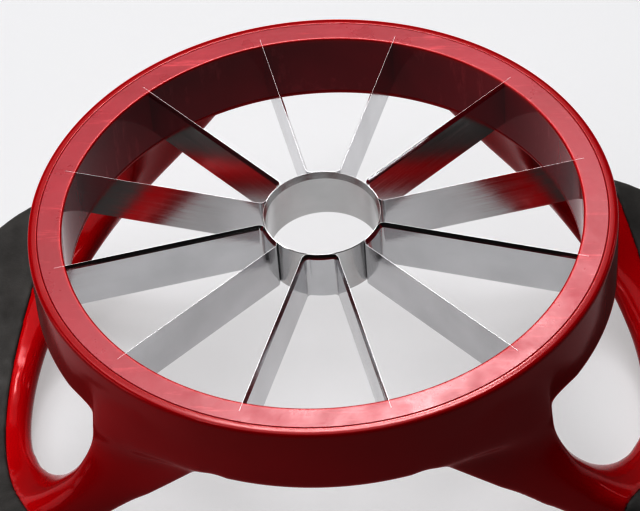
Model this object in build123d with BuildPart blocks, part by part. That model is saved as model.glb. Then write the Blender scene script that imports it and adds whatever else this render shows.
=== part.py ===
from build123d import *
import os
from math import atan, cos, degrees, radians, sin, sqrt

# Apple divider and corer: a ring with two loop handles, twelve radial blades
# and a corer tube in the middle.  All sizes are in millimetres.
# It is modelled as it lies when its cutting face is turned up: it stands on
# its two handles, the cutting edges point up (+Z), and the handles lie
# along X.  The origin is under the corer's axis, at the lowest point.
# "Depth" below means the distance down from the cutting face.

# ---- driving dimensions ---------------------------------------------------
HEIGHT = 60.0          # from the handles' lowest point to the cutting face

OPENING_R = 50.0       # inside of the ring, a 100 mm opening for the fruit
RING_R = 56.6          # outside of the ring
RING_H = 14.8          # height of the ring's wall
RIM_ROUND = 0.9        # rounding of the ring's outer top edge
FOOT_ROUND = 0.5       # rounding of the ring's outer bottom edge

RETAINER_R = 54.7      # outside of the blade retainer pressed into the ring
RETAINER_H = 13.8      # height of the retainer
SEAT_PLAY = 0.05       # clearance around the retainer in its seat
SEAM_CHAMFER = 0.15    # small chamfers that meet at the seam around it
MOUTH_ROUND = 0.5      # rounding of the opening's top edge

BLADES = 12            # cutting edges, two on each folded strip
BLADE_T = 0.5          # sheet thickness of the strips
BLADE_H = 10.6         # height of the strips
BLADE_TIP_R = 52.2     # how far each blade reaches into the retainer
BLADE_BEND = 0.8       # inside radius where a strip bends round the corer
BEVEL_H = 0.85         # height of the ground bevel along a strip's edge
EDGE_T = 0.08          # flat left at a ground edge
SLOT_PLAY = 0.04       # gap on each side of a blade in its slot

CORER_R = 11.35        # outside of the corer tube
CORER_T = 0.5          # wall of the corer tube
CORER_BEVEL_H = 1.4    # height of the bevel inside the corer's edge

HOLE_ANGLE = 41.5      # half the finger opening's span around the ring, degrees
HOLE_DROP = 35.5       # how far the finger opening goes below the ring's wall
ARM_ANGLE = 68.3       # where an arm runs out inside the ring's wall, degrees
ARM_END = 14.2         # depth of its lower edge there
ARM_ROOT = 11.0        # depth from which the arms are merged into the wall
FLARE = 12.7           # how far the inner side leans out towards the bar
HANDLE_X = 84.0        # reach of a handle from the axis
HANDLE_Y = 46.5        # half the width across the arms
HANDLE_CORNER = 25.0   # plan radius of the handle's corners
RIDGE_TOP = 49.5       # depth of the bar's upper outer edge, at its middle
RIDGE_RISE = 13.0      # how much shallower that edge is at the corners
RIDGE_ANGLE = 37.0     # where the corners are, degrees
EDGE_ROUND = 2.5       # rounding of the handle's edges
FOOT_FLAT = 0.6        # how much is flattened off where a handle stands
STATIONS = [0, 8, 16, 23, 29, 33.5, 37, 39.5, 41, 43, 47, 52, 57, 62, ARM_ANGLE]

GRIP_T = 2.6           # thickness of the soft grip over the bar
GRIP_EDGE_X = 66.9     # where the grip begins, at the middle of the bar
GRIP_EDGE_R = 102.0    # plan radius of the grip's inner edge

PAIR_ANGLE = 360 / (BLADES / 2)     # from one folded strip to the next
SPOKE_ANGLE = 180 / BLADES          # from a strip's middle to its blades


# ---- the handle's shape ---------------------------------------------------
def reach(angle):
    """Plan distance from the axis to the handle's outline at an angle."""
    cx, cy = HANDLE_X - HANDLE_CORNER, HANDLE_Y - HANDLE_CORNER
    c, s = cos(radians(angle)), sin(radians(abs(angle)))
    off = cx * s - cy * c
    corner = cx * c + cy * s + sqrt(max(HANDLE_CORNER**2 - off**2, 0))
    if corner * c < cx:
        return HANDLE_Y / s
    if corner * s < cy:
        return HANDLE_X / c
    return corner


def lean(depth):
    """Radius of the handle's inner side at a depth."""
    t = max(depth - RING_H, 0) / (HEIGHT - RING_H)
    return OPENING_R + 0.2 + FLARE * sin(radians(90 * t**1.3))


def handle_corners(angle):
    """Five corners of the handle's section at an angle, as (radius, depth)."""
    a = abs(angle)
    low = ARM_END + (HEIGHT + FOOT_FLAT - ARM_END) * cos(radians(a * 90 / ARM_ANGLE))
    ridge = max(RIDGE_TOP - RIDGE_RISE * (a / RIDGE_ANGLE) ** 2, ARM_ROOT + 1)
    if a < HOLE_ANGLE:
        hole = RING_H + HOLE_DROP * sqrt(1 - (a / HOLE_ANGLE) ** 2)
        wall = 3 + 3.4 * (a / HOLE_ANGLE) ** 3
        tuck = 2.5 * cos(radians(a * 90 / HOLE_ANGLE))
        top_in = (lean(hole), hole + tuck)
        lip = (lean(hole) + wall, hole)
    else:
        top_in = (OPENING_R + 0.4, ARM_ROOT)
        lip = (RING_R - 0.4, ARM_ROOT)
    shoulder = (max(reach(a) - 1.5, RING_R - 0.3), ridge)
    low_out = (max(reach(a), RING_R - 0.25), low)
    inner_low = max(low - 1.2 - 2.3 * min(a / RIDGE_ANGLE, 1), ARM_ROOT + 2)
    low_in = (lean(inner_low) + 0.5, inner_low)
    return [top_in, lip, shoulder, low_out, low_in]


def inset(corners, amount):
    """The same outline moved inwards by an amount."""
    if not amount:
        return corners
    count = len(corners)
    sides = []
    for i, a in enumerate(corners):
        b = corners[(i + 1) % count]
        along = (b - a).normalized()
        inward = Vector(along.Y, -along.X) * amount
        sides.append((a + inward, along))
    moved = []
    for i, (b, v) in enumerate(sides):
        a, u = sides[i - 1]
        cross = u.X * v.Y - u.Y * v.X
        t = ((b - a).X * v.Y - (b - a).Y * v.X) / cross
        moved.append(a + u * t)
    return moved


def handle_section(angle, amount=0.0):
    """The handle's section on the half plane through the axis at an angle."""
    c, s = cos(radians(angle)), sin(radians(angle))
    corners = [Vector(r, -depth) for r, depth in handle_corners(angle)]
    corners = inset(corners, amount)
    count = len(corners)
    with BuildSketch(Plane((0, 0, HEIGHT), x_dir=(c, s, 0), z_dir=(s, -c, 0))) as section:
        with BuildLine():
            ends = []
            for i, p in enumerate(corners):
                before, after = corners[i - 1] - p, corners[(i + 1) % count] - p
                cut = min(EDGE_ROUND, 0.45 * before.length, 0.45 * after.length)
                ends.append((p + before.normalized() * cut, p + after.normalized() * cut))
            for i, p in enumerate(corners):
                Bezier(ends[i][0], p, ends[i][1])
                Line(ends[i][1], ends[(i + 1) % count][0])
        make_face()
    return section.sketch


def both_ways(angles):
    """A list of angles from 0 up, extended to the negative side."""
    return [-a for a in reversed(angles[1:])] + angles


# ---- helper forms: one handle as a whole, and how it divides --------------
with BuildPart() as floor_cut:
    Box(4 * HANDLE_X, 4 * HANDLE_Y, HEIGHT, align=(Align.CENTER, Align.CENTER, Align.MAX))

with BuildPart() as handle_form:
    loft([handle_section(a) for a in both_ways(STATIONS)])
    add(floor_cut.part, mode=Mode.SUBTRACT)

with BuildPart() as grip_zone:
    with BuildSketch():
        Rectangle(2 * HANDLE_X, 4 * HANDLE_Y, align=(Align.MIN, Align.CENTER))
        with Locations((GRIP_EDGE_X - GRIP_EDGE_R, 0)):
            Circle(GRIP_EDGE_R, mode=Mode.SUBTRACT)
    extrude(amount=HEIGHT, both=True)

with BuildPart() as bar_core:
    loft([handle_section(a, GRIP_T) for a in both_ways(STATIONS[:9])])
    add(grip_zone.part, mode=Mode.INTERSECT)

with BuildPart() as bare_handle:
    add(handle_form.part)
    add(grip_zone.part, mode=Mode.SUBTRACT)
    add(bar_core.part)


# ---- frame: the ring's outer wall with both handles, one moulding ---------
with BuildPart() as frame:
    with BuildSketch(Plane.XZ) as wall:
        with BuildLine():
            Polyline(
                (OPENING_R, HEIGHT - RING_H),
                (RING_R, HEIGHT - RING_H),
                (RING_R, HEIGHT),
                (RETAINER_R + SEAT_PLAY, HEIGHT),
                (RETAINER_R + SEAT_PLAY, HEIGHT - RETAINER_H),
                (OPENING_R, HEIGHT - RETAINER_H),
                close=True,
            )
        make_face()
        outer = wall.vertices().group_by(Axis.X)[-1].sort_by(Axis.Y)
        fillet(outer[0], FOOT_ROUND)
        fillet(outer[1], RIM_ROUND)
        seam = wall.vertices().group_by(Axis.Y)[-1].sort_by(Axis.X)[0]
        chamfer(seam, SEAM_CHAMFER)
    revolve(axis=Axis.Z)
    for turn in (0, 180):
        add(bare_handle.part, rotation=(0, 0, turn))
    with BuildSketch(Plane.XY.offset(HEIGHT - RETAINER_H)):
        Circle(RETAINER_R + SEAT_PLAY)
    extrude(amount=RETAINER_H - SEAM_CHAMFER, mode=Mode.SUBTRACT)

# ---- soft grips, one around each bar --------------------------------------
with BuildPart() as right_grip:
    add(handle_form.part)
    add(grip_zone.part, mode=Mode.INTERSECT)
    add(bar_core.part, mode=Mode.SUBTRACT)

with BuildPart() as left_grip:
    add(right_grip.part, rotation=(0, 0, 180))

# ---- retainer: the flat ring that holds the blades' ends ------------------
with BuildPart() as retainer_ring:
    with BuildSketch(Plane.XZ) as profile:
        with Locations((OPENING_R, HEIGHT)):
            Rectangle(RETAINER_R - OPENING_R, RETAINER_H, align=(Align.MIN, Align.MAX))
        top = profile.vertices().group_by(Axis.Y)[-1].sort_by(Axis.X)
        fillet(top[0], MOUTH_ROUND)
        chamfer(top[1], SEAM_CHAMFER)
    revolve(axis=Axis.Z)
    slot_length = BLADE_TIP_R + SLOT_PLAY - OPENING_R + 1
    with BuildSketch(Plane.XY.offset(HEIGHT)):
        with PolarLocations(OPENING_R - 1, BLADES, start_angle=SPOKE_ANGLE):
            Rectangle(slot_length, BLADE_T + 2 * SLOT_PLAY, align=(Align.MIN, Align.CENTER))
    extrude(amount=-BLADE_H, mode=Mode.SUBTRACT)

# ---- corer tube, sharpened from the inside --------------------------------
with BuildPart() as corer_ring:
    with BuildSketch(Plane.XZ):
        with BuildLine():
            Polyline(
                (CORER_R, HEIGHT),
                (CORER_R, HEIGHT - BLADE_H),
                (CORER_R - CORER_T, HEIGHT - BLADE_H),
                (CORER_R - CORER_T, HEIGHT - CORER_BEVEL_H),
                (CORER_R - EDGE_T, HEIGHT),
                close=True,
            )
        make_face()
    revolve(axis=Axis.Z)


# ---- blade strips: two blades and a bridge round the corer, folded --------
def on_spoke(along, across, side):
    """A point beside a blade's middle line; across is away from the pair's middle."""
    c, s = cos(radians(SPOKE_ANGLE)), sin(radians(SPOKE_ANGLE))
    return (along * c - across * s, side * (along * s + across * c))


def start_on(radius, across):
    """Where a line beside a blade's middle line meets a circle round the axis."""
    return sqrt(radius**2 - across**2)


half = BLADE_T / 2
bridge_r = CORER_R + BLADE_T
inner = start_on(bridge_r, half)
outer = start_on(CORER_R, half)

with BuildPart() as folded_strip:
    with BuildSketch(Plane.XY.offset(HEIGHT - BLADE_H)) as plan:
        with BuildLine():
            Polyline(
                on_spoke(outer, half, 1),
                on_spoke(BLADE_TIP_R, half, 1),
                on_spoke(BLADE_TIP_R, -half, 1),
                on_spoke(inner, -half, 1),
            )
            ThreePointArc(on_spoke(inner, -half, 1), (bridge_r, 0), on_spoke(inner, -half, -1))
            Polyline(
                on_spoke(inner, -half, -1),
                on_spoke(BLADE_TIP_R, -half, -1),
                on_spoke(BLADE_TIP_R, half, -1),
                on_spoke(outer, half, -1),
            )
            ThreePointArc(on_spoke(outer, half, -1), (CORER_R, 0), on_spoke(outer, half, 1))
        make_face()
        bends = plan.vertices().filter_by(lambda v: Vector(v.X, v.Y).length < 2 * CORER_R)
        bends = bends.sort_by(lambda v: Vector(v.X, v.Y).length)
        fillet(bends[:2], BLADE_BEND + BLADE_T)
        fillet(bends[2:], BLADE_BEND)
    extrude(amount=BLADE_H)
    with BuildSketch(Plane.XY.offset(HEIGHT - BEVEL_H)) as ground_side:
        with BuildLine():
            Polyline(
                on_spoke(inner, -half, -1),
                on_spoke(BLADE_TIP_R + 2, -half, -1),
                on_spoke(BLADE_TIP_R + 2, -half, 1),
                on_spoke(inner, -half, 1),
            )
            ThreePointArc(on_spoke(inner, -half, 1), (bridge_r, 0), on_spoke(inner, -half, -1))
        make_face()
        corners = ground_side.vertices().sort_by(Axis.X)[:2]
        fillet(corners, BLADE_BEND)
    bevel_angle = degrees(atan((BLADE_T - EDGE_T) / BEVEL_H))
    extrude(amount=BEVEL_H, taper=-bevel_angle, mode=Mode.SUBTRACT)

strips = []
for n in range(BLADES // 2):
    with BuildPart() as blade_strip:
        add(folded_strip.part, rotation=(0, 0, (n + 0.5) * PAIR_ANGLE))
    blade_strip.part.label = "blade_strip_%d" % (n + 1)
    strips.append(blade_strip.part)

# ---- names and files ------------------------------------------------------
frame.part.label = "frame"
right_grip.part.label = "right_grip"
left_grip.part.label = "left_grip"
retainer_ring.part.label = "retainer_ring"
corer_ring.part.label = "corer_ring"

os.makedirs("parts", exist_ok=True)
pieces = [frame.part, right_grip.part, left_grip.part, retainer_ring.part, corer_ring.part]
for piece in pieces + strips:
    export_step(piece, "parts/%s.step" % piece.label)
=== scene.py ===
import bmesh
import bpy
import math
import numpy as np
from itertools import product
from mathutils import Matrix, Vector


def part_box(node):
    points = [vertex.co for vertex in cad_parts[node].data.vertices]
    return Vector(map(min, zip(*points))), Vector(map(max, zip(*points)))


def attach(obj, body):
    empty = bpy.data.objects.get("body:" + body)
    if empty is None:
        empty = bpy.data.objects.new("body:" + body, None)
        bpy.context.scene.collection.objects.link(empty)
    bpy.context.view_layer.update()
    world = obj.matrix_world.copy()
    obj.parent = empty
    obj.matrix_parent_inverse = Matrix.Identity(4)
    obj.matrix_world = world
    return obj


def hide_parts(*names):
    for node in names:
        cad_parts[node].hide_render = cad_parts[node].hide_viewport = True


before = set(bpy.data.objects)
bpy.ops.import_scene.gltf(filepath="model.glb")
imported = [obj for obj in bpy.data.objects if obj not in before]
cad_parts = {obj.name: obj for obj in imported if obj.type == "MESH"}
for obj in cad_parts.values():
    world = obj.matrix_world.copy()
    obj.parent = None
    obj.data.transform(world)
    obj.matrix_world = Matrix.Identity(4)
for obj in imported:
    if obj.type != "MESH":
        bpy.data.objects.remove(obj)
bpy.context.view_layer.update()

MM = 0.001
TINY = 1e-9                 # keeps a division from meeting zero


def radius_of(node):
    """Outside radius of a round node in mm, from its box in the frame."""
    return round(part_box(node)[1][0] / MM, 2)


def height_of(node):
    """Height of a node in mm, from its box in the frame."""
    low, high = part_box(node)
    return round((high[2] - low[2]) / MM, 2)


# ---- sizes, in millimetres and degrees; "depth" is measured down from the cutting face -------
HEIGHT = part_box("retainer_ring")[1][2] / MM      # cutting face above the floor

OPENING_R = 50.0            # inside of the ring
RING_R = 56.6               # outside of the ring
RING_H = 14.8               # height of the ring's wall
RIM_ROUND = 0.75            # rounding of the wall's outer top edge
RIM_FALL = 0.08             # how the rim outside the seat falls away, per mm squared
WALL_FOOT_ROUND = 0.7       # rounding of the wall's outer bottom edge
SEAT_R = 54.72              # step in the wall that the retainer sits in
SEAT_ROUND = 0.07           # rounding of the step's edges

RETAINER_R = radius_of("retainer_ring")
RETAINER_H = height_of("retainer_ring")
RETAINER_SINK = 0.2         # how far the retainer reaches into the floor of its seat
MOUTH_ROUND = 0.4           # rounding of the opening's top edge
SEAM_ROUND = 0.05           # rounding of the retainer's outer top edge
RETAINER_FOOT_ROUND = 0.1   # rounding of its bottom edges

BLADES = 12                 # cutting edges, two on each folded strip
BLADE_T = 0.5               # sheet thickness of the strips and the corer tube
BLADE_H = height_of("corer_ring")
BLADE_TIP_R = 52.2          # how far each blade reaches into the retainer
BLADE_BEND = 0.8            # inside radius where a strip bends round the corer
BEVEL_H = 0.85              # height of the ground bevel along a strip's edge
EDGE_T = 0.05               # width left at a ground edge
BRINK = 0.04                # chamfer along a strip's lower edges
SLOT_PLAY = 0.02            # gap on each side of a blade in its slot
CORER_R = radius_of("corer_ring")
CORER_BEVEL_H = 1.4         # height of the bevel inside the corer's edge
CORER_EDGE_H = 0.12         # height of the small bevel outside that edge
CORER_BRINK = 0.05          # chamfer along the corer's lower edges

HOLE_ANGLE = 41.5           # half the finger opening's span around the ring
HOLE_DROP = 35.5            # how far the finger opening goes below the ring's wall
LIP_WIDTH = 3.0             # width of the finger opening's edge, at the middle of the bar
LIP_GROWTH = 1.3            # how much wider it is at the opening's ends
LIP_DROP = 2.5              # how much lower its inner side is, at the middle of the bar
LIP_SHIFT = 0.2             # how far its inner side moves out at the opening's ends
ARM_ANGLE = 68.3            # where an arm runs out inside the ring's wall
ARM_END = 14.2              # depth of its lower edge there
ARM_ROOT = 9.0              # depth of an arm's upper edge along the wall
ROOT_SPAN = 12.0            # angle over which that edge climbs from the opening's end
FLARE = 12.7                # how far the inner side leans out towards the bar
FLARE_POWER = 1.3           # how late it leans out
INNER_GAP = 0.2             # inner side at the ring, out from the opening's wall
HANDLE_X = 84.0             # reach of a handle from the axis
HANDLE_Y = 46.5             # half the width across the arms
HANDLE_CORNER = 25.0        # plan radius of the handle's corners
OUTLINE_FLOW = 5.0          # rounding where the handle's outline meets the ring's
RIDGE_TOP = 49.5            # depth of the bar's upper outer edge, at its middle
RIDGE_RISE = 13.0           # how much shallower that edge is at the corners
RIDGE_ANGLE = 37.0          # where the corners are
RIDGE_IN = 1.5              # how far that edge stands in from the handle's outline
RIDGE_TUCK = 1.2            # how far it lies inside the ring's outer wall, past the handle
RIDGE_BELOW_LIP = 1.0       # least depth from the opening's edge down to it
FOOT_FLAT = 0.6             # how much is flattened off where a handle stands
FOOT_ROUND = 0.6            # rounding round that flat
FOOT_TUCK = 0.4             # how far the lower outer edge lies inside the ring's outer wall
FOOT_IN = 0.5               # lower inner edge, out from the inner side's lean
SOLE_RISE = 1.2             # how much higher the lower inner edge is than the outer one
SOLE_TWIST = 2.3            # how much more than that at the corners
EDGE_ROUND = 2.5            # rounding of the handle's edges
ROUND_SHARE = 0.45          # most of a side's length that a rounding takes
LEAST_ROUND = 0.05          # rounding that is there even between sides nearly in line

BLEND_AT_OPENING = 0.4      # rounding between the ring and a handle: at the ring's inside,
BLEND_AT_WALL = 1.6         # how much more at its outer wall,
BLEND_AT_HOLE = 5.6         # and how much more than that by the finger opening

GRIP_T = 2.2                # thickness of the soft grip over the bar
GRIP_PLAY = 0.05            # gap between the grip and the bar inside it
GRIP_EDGE_X = 66.9          # where the grip begins, at the middle of the bar
GRIP_EDGE_R = 102.0         # plan radius of the grip's inner edge
GROOVE = 0.3                # depth of the groove between grip and moulding

# Lines of the polar grid that the moulding's skin is found on, as stretches of (from, to, step).
# They are close together at the rim, and none lies on a flat or a cylinder of the shape, where
# the skin would pinch.
GRID_RADII = [(49.65, 54.125, 0.56), (54.125, 57.355, 0.17), (57.355, 90.5, 0.72)]
GRID_HEIGHTS = [(-0.33, 57.9, 0.719), (57.9, 60.2, 0.177)]
GRID_COLUMNS = 516
WELD = 1e-4                 # points closer than this are one


# ---- camera ----------------------------------------------------------------
CAMERA_TURN = 4.66          # round from the side between the handles, towards +X
CAMERA_TILT = 45.29         # above the horizon
CAMERA_ROLL = -4.63
CAMERA_DISTANCE = 596.6     # from the middle of the cutting face
CAMERA_RIGHT = -0.32        # moved across the view
CAMERA_UP = -8.22           # moved up the view
LENS = 175.4
SENSOR = 36


def make_camera():
    """The main view: about 45 degrees down, from the side between the handles."""
    turn, tilt, roll = (math.radians(angle) for angle in (CAMERA_TURN, CAMERA_TILT, CAMERA_ROLL))
    back = Vector((math.sin(turn) * math.cos(tilt), -math.cos(turn) * math.cos(tilt), math.sin(tilt)))
    right = Vector((0, 0, 1)).cross(back).normalized()
    up = back.cross(right)
    rolled_right = math.cos(roll) * right + math.sin(roll) * up
    rolled_up = math.cos(roll) * up - math.sin(roll) * right
    place = back * CAMERA_DISTANCE + rolled_right * CAMERA_RIGHT + rolled_up * CAMERA_UP
    data = bpy.data.cameras.new("camera")
    data.sensor_width = SENSOR
    data.lens = LENS
    camera = bpy.data.objects.new("camera", data)
    bpy.context.scene.collection.objects.link(camera)
    matrix = Matrix((rolled_right, rolled_up, back)).transposed().to_4x4()
    matrix.translation = (place + Vector((0, 0, HEIGHT))) * MM
    camera.matrix_world = matrix
    bpy.context.scene.camera = camera


make_camera()


# ---- the moulding's shape as a distance: negative inside ---------------------
def smooth_max(a, b, k):
    """The larger of two distances, with the edge between them rounded over k."""
    overlap = np.maximum(k - np.abs(a - b), 0)
    return np.maximum(a, b) + overlap**2 / (4 * np.maximum(k, TINY))


def smooth_min(a, b, k):
    """The smaller of two distances, with the corner between them filled over k."""
    return -smooth_max(-a, -b, k)


def rising(value, start, span):
    """0 up to a start, then rising evenly over a span to 1."""
    return np.clip((value - start) / span, 0, 1)


def falling(value, end, span):
    """1 until a span before an end, then falling evenly to 0."""
    return np.clip((end - value) / span, 0, 1)


def reach(angle):
    """Plan distance from the axis to the handle's outline, a rectangle with round corners."""
    cx, cy = HANDLE_X - HANDLE_CORNER, HANDLE_Y - HANDLE_CORNER
    c, s = np.cos(angle), np.sin(angle)
    off = cx * s - cy * c
    corner = cx * c + cy * s + np.sqrt(np.maximum(HANDLE_CORNER**2 - off**2, 0))
    side = HANDLE_Y / np.maximum(s, TINY)
    end = HANDLE_X / np.maximum(c, TINY)
    return np.where(corner * c < cx, side, np.where(corner * s < cy, end, corner))


def lean(depth):
    """Radius of the handle's inner side."""
    t = np.maximum(depth - RING_H, 0) / (HEIGHT - RING_H)
    return OPENING_R + INNER_GAP + FLARE * np.sin(np.pi / 2 * t**FLARE_POWER)


def handle_corners(angle):
    """Corners of the handle's section on the half plane at an angle, as (radius, depth): the finger
    opening's edge inside and outside, the ridge, and the lower edge outside and inside."""
    a = np.degrees(angle)
    to_hole_end = np.minimum(a / HOLE_ANGLE, 1)
    low = ARM_END + (HEIGHT + FOOT_FLAT - ARM_END) * np.cos(np.radians(a * 90 / ARM_ANGLE))
    ridge = RIDGE_TOP - RIDGE_RISE * (a / RIDGE_ANGLE) ** 2
    arch = np.sqrt(np.maximum(1 - (a / HOLE_ANGLE) ** 2, 0))
    hole = RING_H + HOLE_DROP * arch - (RING_H - ARM_ROOT) * rising(a, HOLE_ANGLE, ROOT_SPAN)
    inner_low = low - SOLE_RISE - SOLE_TWIST * np.minimum(a / RIDGE_ANGLE, 1)
    out = reach(angle)
    return [
        (lean(hole) + LIP_SHIFT * to_hole_end, hole + LIP_DROP * np.cos(np.pi / 2 * to_hole_end)),
        (lean(hole) + LIP_WIDTH + LIP_GROWTH * to_hole_end**3, hole),
        (smooth_max(out - RIDGE_IN, RING_R - RIDGE_TUCK, OUTLINE_FLOW),
         np.maximum(ridge, hole + RIDGE_BELOW_LIP)),
        (smooth_max(out, RING_R - FOOT_TUCK, OUTLINE_FLOW), low),
        (lean(inner_low) + FOOT_IN, inner_low),
    ]


def section_sides(corners, r, depth):
    """For each side of a section: the distance to its line, its length and its outward direction."""
    sides = []
    for (r0, depth0), (r1, depth1) in zip(corners, corners[1:] + corners[:1]):
        length = np.hypot(r1 - r0, depth1 - depth0) + TINY
        out_r, out_depth = (depth1 - depth0) / length, (r0 - r1) / length
        sides.append(((r - r0) * out_r + (depth - depth0) * out_depth, length, out_r, out_depth))
    return sides


def handle(r, angle, depth):
    """Distance to the handle, its section's corners rounded. Half a degree before the arm's end the
    section stops changing, and the distance grows with the angle instead."""
    runout = math.radians(ARM_ANGLE - 0.5)
    sides = section_sides(handle_corners(np.minimum(angle, runout)), r, depth)
    distance = -np.inf
    for (d0, length0, r0, depth0), (d1, length1, r1, depth1) in zip(sides, sides[1:] + sides[:1]):
        cut = np.minimum(ROUND_SHARE * np.minimum(length0, length1), EDGE_ROUND)
        turn = np.abs(r0 * depth1 - depth0 * r1)
        distance = np.maximum(distance, smooth_max(d0, d1, cut * turn + LEAST_ROUND))
    distance = distance + RING_R * np.maximum(angle - runout, 0)
    return smooth_max(distance, depth - HEIGHT, FOOT_ROUND)


def ring_wall(r, depth):
    """Distance to the ring's wall, its rim falling away outside the seat."""
    fall = RIM_FALL * np.clip(r - SEAT_R, 0, None) ** 2
    distance = smooth_max(r - RING_R, fall - depth, RIM_ROUND)
    return np.maximum(smooth_max(distance, depth - RING_H, WALL_FOOT_ROUND), OPENING_R - r)


def polar(p):
    """Radius, angle folded into one quarter, and depth of points given as x, y, z in mm."""
    return np.hypot(p[0], p[1]), np.arctan2(np.abs(p[1]), np.abs(p[0])), HEIGHT - p[2]


def past_edge(p):
    """Distance beyond the line where the soft grip begins."""
    return np.hypot(np.abs(p[0]) - (GRIP_EDGE_X - GRIP_EDGE_R), p[1]) - GRIP_EDGE_R


def moulding_distance(p):
    """The whole moulding, grips included: ring wall and handles flow together, less the retainer's seat."""
    r, angle, depth = polar(p)
    hole_side, fade = math.radians(ARM_ANGLE - 4), math.radians(18)
    blend_start, blend_span = 52.5, 3.5
    more = BLEND_AT_WALL + BLEND_AT_HOLE * falling(angle, hole_side, fade)
    blend = BLEND_AT_OPENING + more * rising(r, blend_start, blend_span)
    both = smooth_min(ring_wall(r, depth), handle(r, angle, depth), blend)
    seat = np.minimum(SEAT_R - r, RETAINER_H - depth)
    return smooth_max(np.maximum(both, -depth), seat, SEAT_ROUND)


def softness(p):
    """How much the flow smoothing may move a point: none on the rim, the seat and the inside of the
    ring, all of it near the handles and where the finger opening's ends meet the ring."""
    r, angle, depth = polar(p)
    along_ring = RING_R * np.abs(angle - math.radians(HOLE_ANGLE))
    near_handle = falling(handle(r, angle, depth), end=5, span=3)
    near_hole_end = falling(along_ring, end=9, span=4)
    below_rim = rising(depth, start=4, span=3)
    outer_side = 55.2
    off_the_wall = rising(np.maximum(r - outer_side, 2 * (depth - RING_H)), start=0, span=0.8)
    return np.maximum(near_handle, near_hole_end) * below_rim * off_the_wall


# ---- a skin over a distance field ------------------------------------------------
def slope(field, points, step=0.02):
    """The field's gradient at points."""
    result = []
    for axis in range(3):
        shift = np.zeros((3, 1))
        shift[axis] = step
        result.append((field(points + shift) - field(points - shift)) / (2 * step))
    return np.array(result)


def onto(field, points, rounds=8, longest=0.4, least_slope=0.2):
    """Points moved onto the surface by Newton's method, in short steps."""
    for _ in range(rounds):
        gradient = slope(field, points)
        move = field(points) / np.maximum((gradient**2).sum(0), least_slope)
        points = points - gradient * np.clip(move, -longest, longest)
    return points


def number_crossed(inside):
    """A number for each grid cell whose corners are partly inside, and -1 for the others."""
    cells = tuple(n - 1 for n in inside.shape)
    count = np.zeros(cells, dtype=int)
    for i, j, k in product((0, 1), repeat=3):
        count += inside[i:cells[0] + i, j:cells[1] + j, k:cells[2] + k]
    crossed = (count > 0) & (count < 8)
    numbers = np.full(cells, -1)
    numbers[crossed] = np.arange(crossed.sum())
    return numbers


def quads_across(axis, inside, numbers):
    """A quad of cell numbers round each grid line along an axis that the surface crosses."""
    cells = numbers.shape
    here = [slice(0, cells[0]), slice(0, cells[1]), slice(0, cells[2])]
    there = list(here)
    there[axis] = slice(1, cells[axis] + 1)
    first, second = inside[tuple(here)], inside[tuple(there)]
    place = np.nonzero(first != second)
    entering = second[place]
    u, v = [n for n in range(3) if n != axis]
    ring = []
    for du, dv in ((0, 0), (1, 0), (1, 1), (0, 1)):
        cell = list(place)
        cell[u] = cell[u] - du
        cell[v] = cell[v] - dv
        cell[1] = cell[1] % cells[1]
        ring.append(numbers[tuple(cell)])
    quads = np.stack(ring, axis=1)
    flip = entering ^ (axis == 1)
    quads[flip] = quads[flip][:, ::-1]
    return quads


def skin(field, radii, columns, heights):
    """Points and quads of the closed surface where a field is zero: one point in each cell of a
    polar grid that the surface crosses, moved onto the surface, and a quad round each crossed grid line.
    The field is the same in all four quarters."""
    angles = (np.arange(columns) + 0.5) * 2 * np.pi / columns
    r, a, z = np.meshgrid(radii, angles[:columns // 4], heights, indexing="ij")
    first = field(np.array([r * np.cos(a), r * np.sin(a), z])) < 0
    inside = np.concatenate([first, first[:, ::-1], first, first[:, ::-1], first[:, :1]], axis=1)
    numbers = number_crossed(inside)
    i, j, k = np.nonzero(numbers >= 0)
    middle_r = (radii[i] + radii[i + 1]) / 2
    middle_a = angles[j] + np.pi / columns
    middle_z = (heights[k] + heights[k + 1]) / 2
    points = np.array([middle_r * np.cos(middle_a), middle_r * np.sin(middle_a), middle_z])
    quads = [quads_across(axis, inside, numbers) for axis in range(3)]
    return onto(field, points), np.concatenate(quads)


def grid_lines(stretches):
    """Places of the grid's lines over stretches that follow each other."""
    lines = [np.linspace(start, end, round((end - start) / step) + 1) for start, end, step in stretches]
    return np.concatenate([line[:-1] for line in lines[:-1]] + lines[-1:])


# ---- the moulding and the grips ------------------------------------------------
def add_object(name, mesh):
    """A new object in the scene."""
    made = bpy.data.objects.new(name, mesh)
    bpy.context.scene.collection.objects.link(made)
    return made


def smooth_shade(mesh, sharp_angle=None):
    """Smooth shading, broken at edges sharper than an angle in degrees where one is given."""
    mesh.polygons.foreach_set("use_smooth", [True] * len(mesh.polygons))
    if sharp_angle is not None:
        mesh.set_sharp_from_angle(angle=math.radians(sharp_angle))


def flow(name, points, faces, levels=20):
    """A mesh of the moulding with the creases where its forms meet smoothed out."""
    mesh = bpy.data.meshes.new(name)
    mesh.from_pydata((points.T * MM).tolist(), [], faces.tolist())
    made = add_object(name, mesh)
    group = made.vertex_groups.new(name="softness")
    weights = np.round(softness(points) * levels) / levels
    for weight in np.unique(weights)[1:]:
        group.add(np.nonzero(weights == weight)[0].tolist(), float(weight), "REPLACE")
    smooth = made.modifiers.new("flow", "SMOOTH")
    smooth.factor = 0.5
    smooth.iterations = 60
    smooth.vertex_group = "softness"
    evaluated = made.evaluated_get(bpy.context.evaluated_depsgraph_get())
    result = bpy.data.meshes.new_from_object(evaluated)
    bpy.data.objects.remove(made)
    return result


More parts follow.
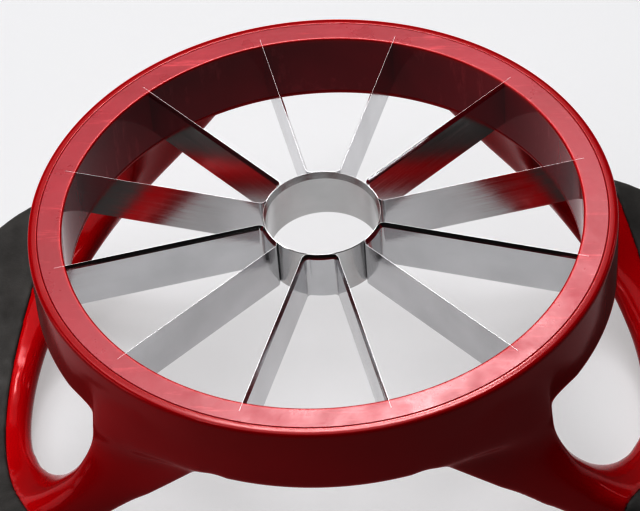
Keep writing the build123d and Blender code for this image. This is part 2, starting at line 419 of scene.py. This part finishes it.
def cut_along_edge(bm):
    """Splits the faces along the line where the grips begin; returns the faces beyond the line and
    the points on it. Points are kept in dicts, whose order is the same each run; a set's isn't."""
    past = {v: float(past_edge(np.array(v.co) / MM)) for v in bm.verts}
    crossing = [e for e in bm.edges if past[e.verts[0]] * past[e.verts[1]] < 0]
    on_line = {}
    for edge in crossing:
        first, second = edge.verts
        fraction = past[first] / (past[first] - past[second])
        fresh = bmesh.utils.edge_split(edge, first, fraction)[1]
        past[fresh] = on_line[fresh] = 0.0
    for face in list(dict.fromkeys(f for v in on_line for f in v.link_faces)):
        ends = [v for v in face.verts if v in on_line]
        if len(ends) == 2:
            bmesh.utils.face_split(face, ends[0], ends[1])
    beyond = [f for f in bm.faces if sum(past[v] for v in f.verts) > 0]
    return beyond, on_line


def press_groove(bm, line):
    """Sinks the line between moulding and grip, so that a groove runs along it."""
    bm.normal_update()
    for vert in line:
        vert.co -= vert.normal * GROOVE * MM
    bm.normal_update()


def sink_core(bm, beyond):
    """Leaves the moulding's core under the grips: the faces beyond the line, moved in by a grip's
    thickness."""
    core = bmesh.ops.extrude_face_region(bm, geom=beyond)["geom"]
    inward = {v: v.normal.copy() for v in core if isinstance(v, bmesh.types.BMVert)}
    for vert, normal in inward.items():
        vert.co -= normal * GRIP_T * MM
    bmesh.ops.delete(bm, geom=[f for f in beyond if f.is_valid], context="FACES")


def mend(bm):
    """Merges each edge that more than two faces share to a point, and turns all faces outward."""
    for edge in [e for e in bm.edges if len(e.link_faces) > 2]:
        middle = (edge.verts[0].co + edge.verts[1].co) / 2
        bmesh.ops.pointmerge(bm, verts=edge.verts[:], merge_co=middle)
    bmesh.ops.recalc_face_normals(bm, faces=bm.faces)
    if bm.calc_volume(signed=True) < 0:
        bmesh.ops.reverse_faces(bm, faces=bm.faces)


def ordered_mesh(name, bm):
    """A mesh of the faces, each begun at its first point and then sorted, so that it is the same each run."""
    bm.verts.index_update()
    faces = []
    for face in bm.faces:
        loop = [v.index for v in face.verts]
        first = loop.index(min(loop))
        faces.append(loop[first:] + loop[:first])
    mesh = bpy.data.meshes.new(name)
    mesh.from_pydata([tuple(v.co) for v in bm.verts], [], sorted(faces))
    return mesh


def make_grip(faces, node):
    """One soft grip: its outer skin, with an inner skin and a rim."""
    verts = dict.fromkeys(v for f in faces for v in f.verts)
    number = {v: i for i, v in enumerate(verts)}
    mesh = bpy.data.meshes.new(node + "_skin")
    outer = [tuple(v.co) for v in verts]
    mesh.from_pydata(outer, [], [[number[v] for v in f.verts] for f in faces])
    made = add_object(node + "_skin", mesh)
    thick = made.modifiers.new("thick", "SOLIDIFY")
    thick.thickness = (GRIP_T - GRIP_PLAY) * MM
    thick.offset = -1
    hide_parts(node)
    return made


def make_moulding():
    """The red moulding and the two grips, divided out of one flowing skin."""
    radii, heights = grid_lines(GRID_RADII), grid_lines(GRID_HEIGHTS)
    whole = flow("moulding", *skin(moulding_distance, radii, GRID_COLUMNS, heights))
    bm = bmesh.new()
    bm.from_mesh(whole)
    bmesh.ops.remove_doubles(bm, verts=bm.verts, dist=WELD * MM)
    beyond, line = cut_along_edge(bm)
    press_groove(bm, line)
    grips = []
    for side, node in ((1, "right_grip"), (-1, "left_grip")):
        mine = [f for f in beyond if f.calc_center_median().x * side > 0]
        grips.append(make_grip(mine, node))
    sink_core(bm, beyond)
    mend(bm)
    made = add_object("moulding", ordered_mesh("moulding", bm))
    bm.free()
    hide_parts("frame")
    for piece in [made] + grips:
        smooth_shade(piece.data)
    return made, grips


# ---- the retainer, turned, with a slot for each blade ---------------------------
def turned(name, profile, columns):
    """A closed ring turned from a profile of (radius, height) points in mm."""
    verts, faces = [], []
    for j in range(columns):
        a = 2 * math.pi * j / columns
        verts += [(r * math.cos(a) * MM, r * math.sin(a) * MM, z * MM) for r, z in profile]
    n = len(profile)
    for j in range(columns):
        k = (j + 1) % columns
        for i in range(n):
            m = (i + 1) % n
            faces.append((j * n + i, k * n + i, k * n + m, j * n + m))
    mesh = bpy.data.meshes.new(name)
    mesh.from_pydata(verts, [], faces)
    return add_object(name, mesh)


def arc(r, z, radius, start, end, count=4):
    """Points along an arc of a profile, angles in degrees."""
    angles = np.radians(np.linspace(start, end, count))
    return [(r + radius * math.cos(a), z + radius * math.sin(a)) for a in angles]


def cut_slots(ring):
    """Cuts the narrow slot that each blade's edge shows in, on the blade's unground side."""
    bm = bmesh.new()
    inner, outer = OPENING_R - 1, BLADE_TIP_R + SLOT_PLAY
    width, deep = EDGE_T + 2 * SLOT_PLAY, 1.0
    size = Matrix.Diagonal(((outer - inner) * MM, width * MM, 2 * deep * MM, 1))
    for n in range(BLADES):
        side = 1 if n % 2 else -1
        across = side * (BLADE_T - EDGE_T) / 2
        middle = Matrix.Translation(((inner + outer) / 2 * MM, across * MM, HEIGHT * MM))
        turn = Matrix.Rotation(2 * math.pi * (n + 0.5) / BLADES, 4, "Z")
        bmesh.ops.create_cube(bm, size=1, matrix=turn @ middle @ size)
    mesh = bpy.data.meshes.new("slot_cutter")
    bm.to_mesh(mesh)
    bm.free()
    cutter = add_object("slot_cutter", mesh)
    cut = ring.modifiers.new("slots", "BOOLEAN")
    cut.operation = "DIFFERENCE"
    cut.solver = "EXACT"
    cut.object = cutter
    evaluated = ring.evaluated_get(bpy.context.evaluated_depsgraph_get())
    ring.data = bpy.data.meshes.new_from_object(evaluated)
    ring.modifiers.clear()
    bpy.data.objects.remove(cutter)


def make_retainer():
    """Turned, with a point close to each rounding on every flat, so that the flats shade flat."""
    low, top, near = HEIGHT - RETAINER_H - RETAINER_SINK, HEIGHT, 0.1
    mouth, foot, seam = MOUTH_ROUND, RETAINER_FOOT_ROUND, SEAM_ROUND
    profile = arc(OPENING_R + foot, low + foot, foot, 180, 270)
    profile += [(OPENING_R + foot + near, low), (RETAINER_R - foot - near, low)]
    profile += arc(RETAINER_R - foot, low + foot, foot, 270, 360)
    profile += [(RETAINER_R, low + foot + near), (RETAINER_R, top - seam - near)]
    profile += arc(RETAINER_R - seam, top - seam, seam, 0, 90)
    profile += [(RETAINER_R - seam - near, top), (OPENING_R + mouth + near, top)]
    profile += arc(OPENING_R + mouth, top - mouth, mouth, 90, 180, count=10)
    profile += [(OPENING_R, top - mouth - near), (OPENING_R, low + foot + near)]
    made = turned("retainer", profile, columns=360)
    cut_slots(made)
    smooth_shade(made.data, sharp_angle=35)
    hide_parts("retainer_ring")
    return made


# ---- corer tube and folded blade strips -------------------------------------------
def make_corer():
    """A turned tube, ground on its inside up to a narrow honed edge."""
    top, low = HEIGHT, HEIGHT - BLADE_H
    outer, inner = CORER_R, CORER_R - BLADE_T
    honed_r, tip_r = outer - 0.09, outer - 0.12
    profile = [(inner, low + CORER_BRINK), (inner + CORER_BRINK, low)]
    profile += [(outer - CORER_BRINK, low), (outer, low + CORER_BRINK)]
    profile += [(outer, top - CORER_EDGE_H), (honed_r, top), (tip_r, top), (inner, top - CORER_BEVEL_H)]
    made = turned("corer_tube", profile, columns=240)
    smooth_shade(made.data, sharp_angle=12)
    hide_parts("corer_ring")
    return made


def strip_path():
    """Half of a folded strip's middle line in plan, from its middle at the corer out to a blade's tip:
    points and the directions square to it that point away from the corer, as the strip lies along +X."""
    half_sheet = BLADE_T / 2
    bridge = CORER_R + half_sheet
    bend = BLADE_BEND + half_sheet
    spoke = math.pi / BLADES
    # The bend's middle is a bend's radius from the blade's line, inside the fold, and from the bridge's arc.
    centre_r = bridge + bend
    centre_a = spoke - math.asin(bend / centre_r)
    centre = np.array([centre_r * math.cos(centre_a), centre_r * math.sin(centre_a)])
    points, outward = [], []
    bridge_points, bend_points, blade_points = 14, 12, 12
    for angle in np.linspace(0, centre_a, bridge_points):
        normal = np.array([math.cos(angle), math.sin(angle)])
        points.append(bridge * normal)
        outward.append(normal)
    for angle in np.linspace(centre_a + math.pi, spoke + math.pi / 2, bend_points)[1:]:
        ray = np.array([math.cos(angle), math.sin(angle)])
        points.append(centre + bend * ray)
        outward.append(-ray)
    along = np.array([math.cos(spoke), math.sin(spoke)])
    square = np.array([math.sin(spoke), -math.cos(spoke)])
    start = points[-1] @ along
    for distance in np.linspace(start, BLADE_TIP_R, blade_points)[1:]:
        points.append(distance * along)
        outward.append(square)
    return np.array(points), np.array(outward)


def strip_section():
    """A strip's section as (across, height) points: chamfered below, and above ground to an edge on
    the face turned away from the corer."""
    top, low, half = HEIGHT, HEIGHT - BLADE_H, BLADE_T / 2
    shoulder, shoulder_in, shoulder_h = top - BEVEL_H, 0.02, 0.06
    tip_in, tip_h = 0.01, 0.02
    return [
        (-half, low + BRINK), (-half + BRINK, low), (half - BRINK, low), (half, low + BRINK),
        (half, shoulder - shoulder_h), (half - shoulder_in, shoulder),
        (-half + EDGE_T, top), (-half + tip_in, top), (-half, top - tip_h),
    ]


def make_strip(number):
    """One folded strip: its section swept along the fold and out along both blades."""
    section = strip_section()
    points, outward = strip_path()
    points = np.concatenate([points[:0:-1] * (1, -1), points])
    outward = np.concatenate([outward[:0:-1] * (1, -1), outward])
    turn = 2 * math.pi * (number - 0.5) / (BLADES / 2)
    c, s = math.cos(turn), math.sin(turn)
    verts, faces = [], []
    for point, normal in zip(points, outward):
        for across, z in section:
            x, y = point + across * normal
            verts.append(((x * c - y * s) * MM, (x * s + y * c) * MM, z * MM))
    n = len(section)
    for j in range(len(points) - 1):
        for i in range(n):
            m = (i + 1) % n
            faces.append((j * n + i, j * n + n + i, j * n + n + m, j * n + m))
    faces.append(tuple(reversed(range(n))))
    faces.append(tuple(range(len(verts) - n, len(verts))))
    mesh = bpy.data.meshes.new("strip_%d" % number)
    mesh.from_pydata(verts, [], faces)
    smooth_shade(mesh, sharp_angle=12)
    made = add_object("strip_%d" % number, mesh)
    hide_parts("blade_strip_%d" % number)
    return made


moulding, grips = make_moulding()
retainer = make_retainer()
corer = make_corer()
strips = [make_strip(n + 1) for n in range(BLADES // 2)]
for piece in [moulding, retainer, corer] + grips + strips:
    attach(piece, "root")


# ---- materials ----------------------------------------------------------------------
# Places and bump distances in metres; colours as linear red, green and blue.
RIM_HEIGHTS = (0.0593, 0.0599)       # the moulding's worn rim fades in between these
MOUTH_RADII = (0.0502, 0.0508)       # the painted highlight on the opening's edge fades out between these
MOUTH_HEIGHTS = (0.0588, 0.0598)     # and fades in between these
EDGE_SHADE_HEIGHTS = (0.05994, 0.05999)   # the painted shade on the steel's top edge fades in between these


def new_material(name, base, roughness, metallic=0.0, specular=0.5):
    """A material with one Principled shader, and its node tree and shader."""
    material = bpy.data.materials.new(name)
    material.use_nodes = True
    tree = material.node_tree
    shader = tree.nodes["Principled BSDF"]
    shader.inputs["Base Color"].default_value = (*base, 1)
    shader.inputs["Roughness"].default_value = roughness
    shader.inputs["Metallic"].default_value = metallic
    shader.inputs["Specular IOR Level"].default_value = specular
    return material, tree, shader


def node(tree, kind, inputs=(), **settings):
    """A new node, each of its inputs linked from a socket or set to a value."""
    made = tree.nodes.new(kind)
    for key, value in settings.items():
        setattr(made, key, value)
    for key, value in dict(inputs).items():
        if isinstance(value, bpy.types.NodeSocket):
            tree.links.new(value, made.inputs[key])
        else:
            made.inputs[key].default_value = value
    return made


def coordinates(tree, stretch=(1, 1, 1)):
    """Places on the object in metres, scaled along each axis."""
    place = node(tree, "ShaderNodeTexCoord")
    scaled = node(tree, "ShaderNodeMapping", {"Vector": place.outputs["Object"], "Scale": stretch})
    return scaled.outputs["Vector"]


def split(tree, vector):
    """The X, Y and Z outputs of a vector."""
    return node(tree, "ShaderNodeSeparateXYZ", {"Vector": vector}).outputs


def noise(tree, scale, detail=4.0, stretch=(1, 1, 1), roughness=0.5):
    """Noise with features of about 1 / scale metres."""
    inputs = {"Vector": coordinates(tree, stretch), "Scale": scale, "Detail": detail, "Roughness": roughness}
    return node(tree, "ShaderNodeTexNoise", inputs).outputs["Fac"]


def spread(tree, value, low, high, start=0.3, end=0.7):
    """A value mapped from start..end, where most of a noise lies, to low..high."""
    inputs = {"Value": value, "From Min": start, "From Max": end, "To Min": low, "To Max": high}
    return node(tree, "ShaderNodeMapRange", inputs).outputs["Result"]


def mask(tree, value, limits):
    """0 below the first limit, 1 above the second."""
    return spread(tree, value, 0, 1, start=limits[0], end=limits[1])


def mix(tree, amount, first, second):
    """A number between a first and a second."""
    return node(tree, "ShaderNodeMix", {0: amount, 2: first, 3: second}).outputs[0]


def blend_colors(tree, amount, first, second):
    """A colour between a first and a second, each a socket or red, green and blue."""
    made = node(tree, "ShaderNodeMix", data_type="RGBA")
    for socket, value in ((0, amount), (6, first), (7, second)):
        if isinstance(value, bpy.types.NodeSocket):
            tree.links.new(value, made.inputs[socket])
        else:
            made.inputs[socket].default_value = (*value, 1) if socket else value
    return made.outputs[2]


def finish_shader(tree, shader, color, roughness, height, strength, distance):
    """Links a colour, a roughness and a bump to a shader."""
    raised = node(tree, "ShaderNodeBump", {"Height": height, "Strength": strength, "Distance": distance})
    tree.links.new(color, shader.inputs["Base Color"])
    tree.links.new(roughness, shader.inputs["Roughness"])
    tree.links.new(raised.outputs["Normal"], shader.inputs["Normal"])


def red_moulding():
    """Glossy moulded plastic: slow colour drift, faint ripple and patches of handling haze.
    The rim, which lies on the cutting board in use, is worn to a satin like the retainer's."""
    # The rim's colour is a darker red than the rest of the moulding.
    deep, bright, rim_red = (0.33, 0.0014, 0.006), (0.38, 0.0020, 0.009), (0.27, 0.0018, 0.007)
    material, tree, shader = new_material("red_moulding", (0.35, 0.002, 0.008), 0.12)
    drift = spread(tree, noise(tree, 35, detail=3), 0, 1)
    rim = mask(tree, split(tree, coordinates(tree))["Z"], RIM_HEIGHTS)
    color = blend_colors(tree, rim, blend_colors(tree, drift, deep, bright), rim_red)
    gloss = spread(tree, noise(tree, 90, detail=5), 0.08, 0.16)
    satin = spread(tree, noise(tree, 160, detail=6), 0.14, 0.22)
    ripple = noise(tree, 260, detail=2)
    rough = mix(tree, rim, gloss, satin)
    tree.links.new(mix(tree, rim, 0.2, 0.4), shader.inputs["Specular IOR Level"])
    finish_shader(tree, shader, color, rough, ripple, strength=0.12, distance=0.0002)
    return material


def red_retainer():
    """Satin moulded plastic. Its flat face is hazed and finely scratched by the cutting board, and its
    walls, which face sideways, are glossier. The opening's rounded edge is painted a brighter red: a painted
    highlight where it catches the light."""
    dull, bright = (0.22, 0.003, 0.013), (0.26, 0.005, 0.020)
    # The last colour is a painted highlight: a brighter red for the opening's rounded edge, where it catches
    # the light.
    scratched, painted_lit_edge = (0.36, 0.035, 0.05), (0.34, 0.002, 0.008)
    material, tree, shader = new_material("red_retainer", (0.24, 0.004, 0.016), 0.32, specular=0.55)
    drift = spread(tree, noise(tree, 60, detail=4), 0, 1)
    streaks = noise(tree, 55, detail=6, stretch=(1, 9, 1), roughness=0.75)
    scratches = mask(tree, streaks, (0.56, 0.70))
    place = split(tree, coordinates(tree))
    flat = node(tree, "ShaderNodeCombineXYZ", {"X": place["X"], "Y": place["Y"]}).outputs[0]
    radius = node(tree, "ShaderNodeVectorMath", {0: flat}, operation="LENGTH").outputs["Value"]
    # Painted highlight: this mask picks out the opening's top edge, which is painted brighter as if lit.
    inward = spread(tree, radius, 1, 0, start=MOUTH_RADII[0], end=MOUTH_RADII[1])
    raised = mask(tree, place["Z"], MOUTH_HEIGHTS)
    edge = node(tree, "ShaderNodeMath", {0: inward, 1: raised}, operation="MULTIPLY").outputs[0]
    color = blend_colors(tree, drift, dull, bright)
    color = blend_colors(tree, scratches, color, scratched)
    color = blend_colors(tree, edge, color, painted_lit_edge)
    upward = split(tree, node(tree, "ShaderNodeTexCoord").outputs["Normal"])["Z"]
    haze = spread(tree, noise(tree, 160, detail=6), 0.25, 0.38)
    grained = spread(tree, upward, 0.01, 0.15, start=0, end=1)
    grain = noise(tree, 900, detail=3)
    rough = mix(tree, upward, 0.05, haze)
    finish_shader(tree, shader, color, rough, grain, strength=grained, distance=0.0001)
    return material


def soft_grip():
    """Matte soft plastic with a fine leathery grain."""
    dark, light = (0.046, 0.044, 0.042), (0.080, 0.077, 0.074)
    material, tree, shader = new_material("soft_grip", (0.022, 0.021, 0.021), 0.7, specular=0.4)
    color = blend_colors(tree, spread(tree, noise(tree, 120, detail=5), 0, 1), dark, light)
    rough = spread(tree, noise(tree, 300, detail=4), 0.6, 0.82)
    grain = noise(tree, 1300, detail=4, roughness=0.7)
    finish_shader(tree, shader, color, rough, grain, strength=0.5, distance=0.0002)
    return material


def steel(name, base, low, high):
    """Rolled stainless sheet: streaks run along the strip. The top edge is rougher and painted darker, a
    painted shade that dims the highlight it catches.
    """
    patchy = tuple(0.9 * c for c in base)
    shaded_edge_color = tuple(0.72 * c for c in base)
    material, tree, shader = new_material(name, base, low, metallic=1.0)
    streaks = noise(tree, 60, detail=5, stretch=(1, 1, 40), roughness=0.6)
    patches = spread(tree, noise(tree, 80, detail=4), 0, 1)
    # Painted shade: the top edge's colour is darkened to dim the bright highlight it catches.
    edge = mask(tree, split(tree, coordinates(tree))["Z"], EDGE_SHADE_HEIGHTS)
    color = blend_colors(tree, edge, blend_colors(tree, patches, patchy, base), shaded_edge_color)
    rough = mix(tree, edge, spread(tree, streaks, low, high), 0.5)
    finish_shader(tree, shader, color, rough, streaks, strength=0.05, distance=0.0001)
    return material


def paint(pieces, material):
    """Gives pieces a material in place of any they have."""
    for piece in pieces:
        piece.data.materials.clear()
        piece.data.materials.append(material)


paint([moulding], red_moulding())
paint([retainer], red_retainer())
paint(grips, soft_grip())
paint([corer], steel("corer_steel", (0.76, 0.76, 0.76), 0.16, 0.26))
paint(strips, steel("blade_steel", (0.77, 0.77, 0.78), 0.10, 0.18))


# ---- floor and light, in metres and watts ----------------------------------------------
FLOOR_SIDE = 3.0                     # half the floor's width
POOL_MIDDLE = (-0.04, 0.15, 0)       # where the painted pool of light, the floor's own glow, is
POOL_RADII = (0.27, 0.62)            # from where to where it fades
POOL_GLOW = (0.59, 0.24)             # its brightness there
RING_TOP = (0, 0, 0.06)
BELOW_RING = (0, 0, 0.03)
LEFT_OF_RING = (-0.05, 0, 0.03)


def make_floor():
    """A plain pale floor that glows, brightest in a painted pool of light round the object."""
    mesh = bpy.data.meshes.new("floor")
    corners = [(-1, -1), (1, -1), (1, 1), (-1, 1)]
    mesh.from_pydata([(x * FLOOR_SIDE, y * FLOOR_SIDE, 0) for x, y in corners], [], [(0, 1, 2, 3)])
    floor = add_object("floor", mesh)
    material, tree, shader = new_material("floor", (0.15, 0.15, 0.155), 0.6, specular=0.2)
    shader.inputs["Emission Color"].default_value = (1, 1, 1, 1)
    place = node(tree, "ShaderNodeTexCoord").outputs["Object"]
    # Painted pool of light: the floor's glow is strongest near the object and fades away from it.
    away = node(tree, "ShaderNodeVectorMath", {0: place, 1: POOL_MIDDLE}, operation="DISTANCE")
    painted_light_pool = spread(tree, away.outputs["Value"], *POOL_GLOW, *POOL_RADII)
    tree.links.new(painted_light_pool, shader.inputs["Emission Strength"])
    floor.data.materials.append(material)


def make_light(name, place, target, size, power):
    """A rectangular softbox at a place, facing a target."""
    data = bpy.data.lights.new(name, "AREA")
    data.shape = "RECTANGLE"
    data.size, data.size_y = size
    data.energy = power
    light = bpy.data.objects.new(name, data)
    bpy.context.scene.collection.objects.link(light)
    light.location = place
    direction = Vector(target) - Vector(place)
    light.rotation_mode = "QUATERNION"
    light.rotation_quaternion = direction.to_track_quat("-Z", "Y")


def make_world(level):
    """Even grey light from all round."""
    world = bpy.data.worlds.new("studio")
    world.use_nodes = True
    world.node_tree.nodes["Background"].inputs["Color"].default_value = (level, level, level, 1)
    bpy.context.scene.world = world


make_floor()
make_light("overhead_softbox", (-0.2, 0.0, 1.25), (0, 0, 0), size=(1.2, 1.1), power=15)
make_light("back_softbox", (-0.1, 0.50, 0.88), RING_TOP, size=(1.1, 0.5), power=4.4)
make_light("far_softbox", (-0.12, 0.98, 0.85), RING_TOP, size=(0.9, 0.4), power=2.4)
make_light("front_gleam", (0.01, 0.56, 0.82), (0.01, 0, 0.06), size=(0.2, 0.16), power=3.1)
make_light("rim_gleam", (0.03, 0.36, 0.88), (0, -0.05, 0.06), size=(0.45, 0.13), power=3.2)
make_light("left_softbox", (-0.8, -0.1, 0.30), LEFT_OF_RING, size=(0.6, 0.4), power=2.4)
make_light("edge_light", (1.0, 0.7, 0.45), BELOW_RING, size=(0.08, 0.4), power=0.6)
make_light("front_strip", (-0.55, -0.5, 0.9), LEFT_OF_RING, size=(0.05, 0.35), power=1.0)
make_world(0.02)
bpy.context.scene.view_settings.view_transform = "Standard"
bpy.context.scene.view_settings.gamma = 0.54      # opens up the shadows
